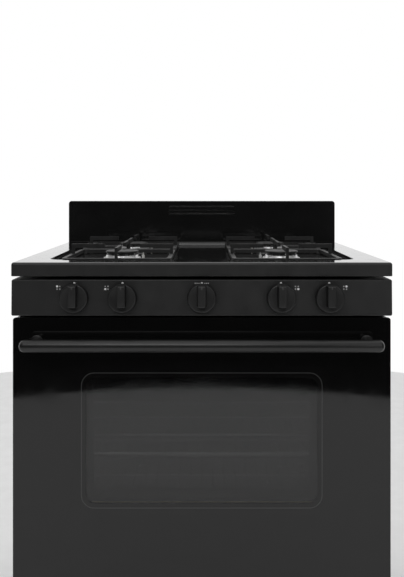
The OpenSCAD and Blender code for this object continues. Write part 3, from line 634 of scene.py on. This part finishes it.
def control_knob(key, node_name, body):
    """Moulded knob: a soft-edged disc, a bar grip with drafted sides, and an inlaid pointer; the
    side walls carry painted shade, a darker copy of the knob plastic.
    """
    low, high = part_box(node_name)
    middle = centre(node_name)
    at = (middle.x, high[1], (PANEL_LOW[2] + PANEL_HIGH[2]) / 2)
    depth = high[1] - low[1]
    radius = (high[0] - low[0]) / 2
    rim = radius - 0.0015
    disc_t = 0.0095
    profile = [(0.011, 0.0045), (0.024, 0.0045), (0.0255, 0.0), (radius - 0.0005, 0.0),
               (radius, 0.0006), (radius - 0.0002, 0.0022), (rim + 0.0004, disc_t - 0.0022)]
    profile += [(rim + 0.0004 - a, b) for a, b in
                fillet((0.0, disc_t - 0.0022), (0.0020, disc_t))]
    profile += [(rim - 0.0040, disc_t - 0.0001), (rim - 0.0060, disc_t - 0.0006),
                (0.010, disc_t - 0.0006)]
    disc = lathe(profile, at, "y", 72)
    upper, lower, half_w = 0.0268, -0.0162, 0.0088
    grip_rings = []
    for height, draft in ((disc_t - 0.0015, -0.0012), (disc_t + 0.0002, -0.0002),
                          (disc_t + 0.0015, 0.0003), (depth - 0.0016, 0.0009),
                          (depth - 0.0006, 0.0013), (depth - 0.0001, 0.0021),
                          (depth, 0.0034)):
        end_draft = draft * 0.8
        half_h = (upper - lower) / 2 - end_draft
        outline = rounded_loop(half_w - draft, half_h, 0.0022, 4)
        grip_rings.append([(at[0] + x, at[1] - height, at[2] + (upper + lower) / 2 + z)
                           for x, z in outline])
    points = [p for ring in grip_rings for p in ring]
    faces = stitch(grip_rings)
    count = len(grip_rings[0])
    faces.append(tuple(range(len(points) - count, len(points))))
    faces.append(tuple(range(count)))
    socket = lathe([(0.0068, 0.0005), (0.0074, 0.0002), (0.0074, disc_t - 0.002)], at, "y", 32)
    all_points, all_faces = merge([disc, (points, faces), socket])
    piece = add_piece("control_knob_" + key, mesh_of("control_knob_" + key, all_points, all_faces),
                      ["knob_plastic", "knob_side_painted_shade"], body, smooth=38)
    # Side walls get the darker painted-shade copy of the plastic; front-facing faces keep
    # knob_plastic.
    for face in piece.data.polygons:
        face.material_index = int(abs(face.normal.y) < SHADED_SIDE_TILT)
    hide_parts(node_name)
    mark_z = at[2] + upper - 0.0042
    outline = rounded_loop(0.0011, 0.0028, 0.0008, 3)
    front = [(at[0] + x, at[1] - depth - 0.00008, mark_z + z) for x, z in outline]
    rear = [(x, y + 0.0006, z) for x, y, z in front]
    mark = add_piece("pointer_" + key, mesh_of(
        "pointer_" + key, rear + front,
        stitch([rear, front]) + [tuple(range(len(front), 2 * len(front)))]),
        "pointer_grey", body)


for key, node_name in KNOB_NODES.items():
    control_knob(key, node_name, "oven_control" if key == "oven" else "knob_" + key)


# ---------------------------------------------------------------- burners and grates
def burner_cap(name):
    """Enamelled cap: domed top, rolled rim and the locating spigot under it."""
    low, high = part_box("burner_cap_" + name)
    middle = centre("burner_cap_" + name)
    radius = (high[0] - low[0]) / 2
    base = high[2] - 0.0065
    profile = [(0.0120, -0.0040), (0.0132, -0.0040), (0.0138, -0.0032), (0.0138, 0.0002),
               (radius - 0.0030, 0.0002), (radius - 0.0008, 0.0006), (radius, 0.0016),
               (radius, 0.0034), (radius - 0.0008, 0.0048), (radius - 0.0026, 0.0057),
               (radius * 0.80, 0.0061), (radius * 0.45, 0.0063), (0.004, 0.0064)]
    piece = add_piece("burner_lid_" + name, mesh_of(
        "burner_lid_" + name, *lathe(profile, (middle.x, middle.y, base), "z", 72)),
        "cap_enamel", "cap_" + name, smooth=50)
    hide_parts("burner_cap_" + name)


for name in BURNERS:
    burner_cap(name)
    soften(frame["nodes"]["grate_" + name], 0.0018, 3)


# ---------------------------------------------------------------- door handle
BAR_SQUASH = 0.92
STANDOFF_X = 0.328


def door_handle():
    """Oval bar with rounded ends on two flared stand-offs."""
    low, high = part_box("door_handle")
    radius = (high[2] - low[2]) / 2
    axis_y = low[1] + radius
    axis_z = (low[2] + high[2]) / 2
    half = high[0]
    stations = []
    for i in range(7):
        turn = math.pi / 2 * i / 6
        stations.append((-half + 0.010 * (1 - math.cos(turn)), math.sin(turn) * 0.999 + 0.001))
    stations += [(-x, share) for x, share in reversed(stations)]
    rings = []
    for x, share in stations:
        ring = []
        for k in range(40):
            turn = 2 * math.pi * k / 40
            depth = radius * BAR_SQUASH * share * math.cos(turn) - radius * (1 - BAR_SQUASH)
            ring.append((x, axis_y + depth, axis_z + radius * share * math.sin(turn)))
        rings.append(ring)
    bar = ([p for ring in rings for p in ring], stitch(rings)
           + [tuple(range(40)), tuple(range(40 * (len(rings) - 1), 40 * len(rings)))])
    parts = [bar]
    for side in (-1, 1):
        reach = high[1] - axis_y
        profile = [(0.0125, 0.0), (0.0125, 0.0015), (0.0105, 0.0035), (0.0090, 0.0070),
                   (0.0085, 0.0120), (0.0085, reach - 0.004), (0.0095, reach)]
        parts.append(lathe(profile, (side * STANDOFF_X, high[1], axis_z), "y", 40))
    piece = add_piece("handle_bar", mesh_of("handle_bar", *merge(parts)), "handle_paint", "door")
    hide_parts("door_handle")


door_handle()


# ---------------------------------------------------------------- door glass
def rounded_box_mask(tree, half_w, half_h, radius, mid_z):
    """1 inside a rounded rectangle in X and Z, 0 outside."""
    place = node(tree, "ShaderNodeTexCoord")
    split = node(tree, "ShaderNodeSeparateXYZ")
    tree.links.new(place.outputs["Object"], split.inputs[0])

    def maths(operation, first, second=0.0):
        made = node(tree, "ShaderNodeMath", operation=operation)
        for socket, value in zip(made.inputs, (first, second)):
            if isinstance(value, float):
                socket.default_value = value
            else:
                tree.links.new(value, socket)
        return made.outputs[0]

    outside = []
    for value, half in ((split.outputs["X"], half_w),
                        (maths("SUBTRACT", split.outputs["Z"], mid_z), half_h)):
        past = maths("SUBTRACT", maths("ABSOLUTE", value), half - radius)
        outside.append(maths("POWER", maths("MAXIMUM", past, 0.0), 2.0))
    distance = maths("SQRT", maths("ADD", outside[0], outside[1]))
    return maths("LESS_THAN", distance, radius)


def door_front_material():
    """Black-backed glass with a tinted see-through window and a thin printed border."""
    made = MATERIALS["black_glass"].copy()
    made.name = "door_front_glass"
    tree = made.node_tree
    shader = tree.nodes["Principled BSDF"]
    pane_low, pane_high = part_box("door_inner_glass")
    mid_z = (pane_low[2] + pane_high[2]) / 2
    half_w = (pane_high[0] - pane_low[0]) / 2 - 0.005
    half_h = (pane_high[2] - pane_low[2]) / 2 - 0.005
    window = rounded_box_mask(tree, half_w, half_h, 0.018, mid_z)
    outer = rounded_box_mask(tree, half_w + 0.010, half_h + 0.010, 0.026, mid_z)
    inner = rounded_box_mask(tree, half_w + 0.0085, half_h + 0.0085, 0.0245, mid_z)
    border = node(tree, "ShaderNodeMath", operation="SUBTRACT")
    tree.links.new(outer, border.inputs[0])
    tree.links.new(inner, border.inputs[1])
    tinted = blend_colour(tree, window, grey(0.004), grey(0.30))
    tree.links.new(blend_colour(tree, border.outputs[0], tinted, grey(0.05)),
                   shader.inputs["Base Color"])
    tree.links.new(window, shader.inputs["Transmission Weight"])
    return made


MATERIALS["door_front_glass"] = door_front_material()
for holder in frame["nodes"]["door_glass"].material_slots:
    holder.material = MATERIALS["door_front_glass"]


# ---------------------------------------------------------------- edges of the sheet parts
for name, width in (("door_glass", 0.0010), ("drawer_front", 0.0008), ("side_panel_left", 0.0005),
                    ("side_panel_right", 0.0005), ("backguard", 0.0007), ("front_frame", 0.0008),
                    ("door_frame", 0.0006), ("door_liner", 0.0008), ("burner_bases", 0.0004),
                    ("gas_regulator", 0.0008), ("burner_valves", 0.0006),
                    ("oven_thermostat", 0.0006), ("leveling_feet", 0.0008),
                    ("hinge_receivers", 0.0005), ("door_hinges", 0.0004),
                    ("oven_cavity", 0.0005), ("oven_gasket", 0.0022), ("drawer_tray", 0.0005)):
    soften(frame["nodes"][name], width)


# ---------------------------------------------------------------- studio
FRONT_LIGHT = 0.012
TOP_LIGHT = 0.95
FLOOR_RADIUS = 2.6


def studio_world():
    """Soft surround: bright above and behind, dim in front, and plain white to the camera."""
    world = bpy.data.worlds.new("studio")
    bpy.context.scene.world = world
    world.use_nodes = True
    tree = world.node_tree
    tree.nodes.clear()
    place = node(tree, "ShaderNodeTexCoord")
    split = node(tree, "ShaderNodeSeparateXYZ")
    tree.links.new(place.outputs["Generated"], split.inputs[0])
    back = remap(tree, split.outputs["Y"], FRONT_LIGHT, 1.0, 0.15, 0.40)
    above = remap(tree, split.outputs["Z"], 0.0, TOP_LIGHT, 0.45, 0.95)
    total = node(tree, "ShaderNodeMath", operation="MAXIMUM")
    tree.links.new(back, total.inputs[0])
    tree.links.new(above, total.inputs[1])
    light = node(tree, "ShaderNodeBackground")
    light.inputs["Color"].default_value = (1, 1, 1, 1)
    tree.links.new(total.outputs[0], light.inputs["Strength"])
    plain = node(tree, "ShaderNodeBackground", Strength=1.0)
    plain.inputs["Color"].default_value = (1, 1, 1, 1)
    rays = node(tree, "ShaderNodeLightPath")
    mix = node(tree, "ShaderNodeMixShader")
    tree.links.new(rays.outputs["Is Camera Ray"], mix.inputs[0])
    tree.links.new(light.outputs[0], mix.inputs[1])
    tree.links.new(plain.outputs[0], mix.inputs[2])
    out = node(tree, "ShaderNodeOutputWorld")
    tree.links.new(mix.outputs[0], out.inputs["Surface"])



def area_light(name, at, aim, size, power):
    """Rectangular soft light that isn't seen directly."""
    data = bpy.data.lights.new(name, "AREA")
    data.shape = "RECTANGLE"
    data.size, data.size_y = size
    data.energy = power
    lamp = bpy.data.objects.new(name, data)
    lamp.location = at
    lamp.rotation_euler = (Vector(aim) - Vector(at)).to_track_quat("-Z", "Y").to_euler()
    lamp.visible_camera = False
    bpy.context.collection.objects.link(lamp)
    return lamp


def studio():
    """Pale floor, surround and lights."""
    studio_world()
    bpy.context.scene.view_settings.view_transform = "Standard"
    area_light("key", (-0.6, -3.2, 3.0), (0, 0, 0.8), (2.4, 1.6), 28.0)
    area_light("fill", (1.9, -2.6, 1.6), (0, 0, 0.6), (1.2, 1.8), 8.0)
    points = circle((0, 0), FLOOR_RADIUS, -0.0005, 64)
    mesh = mesh_of("floor", points, [tuple(range(64))])
    floor = bpy.data.objects.new("floor", mesh)
    bpy.context.collection.objects.link(floor)
    made = surface("floor_paint", grey(0.80), grey(0.84), (0.55, 0.7), grain=60, grain_depth=0.1)
    shader = made.node_tree.nodes["Principled BSDF"]
    shader.inputs["Emission Color"].default_value = (1, 1, 1, 1)
    shader.inputs["Emission Strength"].default_value = 0.10
    mesh.materials.append(made)


studio()
